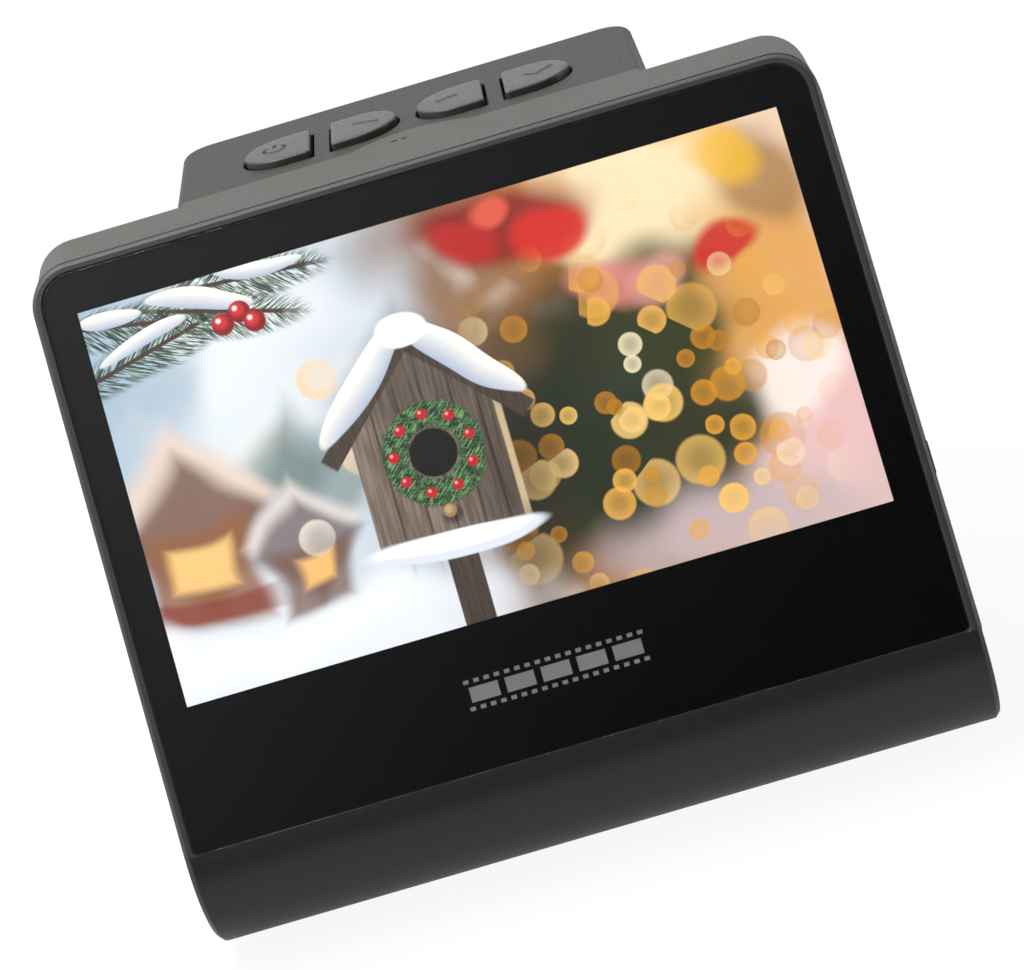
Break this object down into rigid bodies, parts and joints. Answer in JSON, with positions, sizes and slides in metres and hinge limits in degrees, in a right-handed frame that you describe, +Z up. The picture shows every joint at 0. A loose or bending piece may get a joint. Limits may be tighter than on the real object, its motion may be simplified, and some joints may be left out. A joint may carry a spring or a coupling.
{
  "type": "film negative scanner",
  "caption": "Desk-top scanner for film negatives with a leaning built-in screen, push keys on a rear head, a side slot for the film holder and a hinged rear door with the light.",
  "frame": {"origin": "middle of the footprint on the table, under the rubber feet", "axes": "+X to the right of someone who faces the screen, +Y from the screen to the rear head, +Z up"},
  "size_m": [0.1248, 0.0942, 0.1021],
  "materials": {
    "shell_dark": "fine satin texture",
    "housing_grey": "fine satin texture",
    "rubber_black": "matt",
    "screw_steel": "zinc plated",
    "screen_glass": "polished",
    "mask_black": "printed black",
    "display_lit": "lit picture",
    "tray_metal": "stamped sheet",
    "cable_film": "polyimide film",
    "board_green": "solder mask",
    "chip_black": "moulded",
    "liner_black": "matt",
    "lens_glass": "polished",
    "magnet_nickel": "nickel plated",
    "contact_gold": "gold plated",
    "diffuser_white": "opal",
    "lamp_white": "moulded",
    "collar_white": "matt white",
    "button_grey": "satin",
    "plunger_black": "moulded"
  },
  "bodies": {
    "scanner": {"front_shell": "shell_dark", "rear_housing": "housing_grey", "base_plate": "shell_dark", "rubber_feet": "rubber_black", "base_screws": "screw_steel", "cover_glass": "screen_glass", "mask_print": "mask_black", "display_panel": "display_lit", "backlight_tray": "tray_metal", "display_cable": "cable_film", "main_board": "board_green", "board_chips": "chip_black", "button_board": "board_green", "switch_bodies": "chip_black", "socket_board": "board_green", "usb_socket": "tray_metal", "usb_tongue": "chip_black", "card_socket": "tray_metal", "image_sensor": "chip_black", "lens_holder": "liner_black", "lens_barrel": "liner_black", "rear_lens": "lens_glass", "front_lens": "lens_glass", "light_tunnel": "liner_black", "gate_frame": "liner_black", "catch_magnets": "magnet_nickel", "contact_block": "chip_black", "contact_blades": "contact_gold", "hinge_pins": "screw_steel"},
    "rear_door": {"door_cover": "housing_grey", "door_liner": "liner_black", "diffuser": "diffuser_white", "lamp_board": "board_green", "lamps": "lamp_white", "lamp_collar": "collar_white", "strike_plates": "tray_metal", "contact_pads": "contact_gold"},
    "power_key": {"power_button": "button_grey", "power_plunger": "plunger_black"},
    "left_key": {"left_button": "button_grey", "left_plunger": "plunger_black"},
    "right_key": {"right_button": "button_grey", "right_plunger": "plunger_black"},
    "confirm_key": {"confirm_button": "button_grey", "confirm_plunger": "plunger_black"}
  },
  "joints": [
    {"name": "door_hinge", "type": "hinge", "parent": "scanner", "child": "rear_door", "pos_m": [0, 0.04207, 0.0095], "axis": [-1, 0, 0], "range_deg": [0, 85]},
    {"name": "power_press", "type": "slide", "parent": "scanner", "child": "power_key", "axis": [0, -0.0558, -0.9984], "range_m": [0, 0.0006], "stiffness_N_per_m": 1500, "springref_m": -0.0003},
    {"name": "left_press", "type": "slide", "parent": "scanner", "child": "left_key", "axis": [0, -0.0558, -0.9984], "range_m": [0, 0.0006], "stiffness_N_per_m": 1500, "springref_m": -0.0003},
    {"name": "right_press", "type": "slide", "parent": "scanner", "child": "right_key", "axis": [0, -0.0558, -0.9984], "range_m": [0, 0.0006], "stiffness_N_per_m": 1500, "springref_m": -0.0003},
    {"name": "confirm_press", "type": "slide", "parent": "scanner", "child": "confirm_key", "axis": [0, -0.0558, -0.9984], "range_m": [0, 0.0006], "stiffness_N_per_m": 1500, "springref_m": -0.0003}
  ]
}
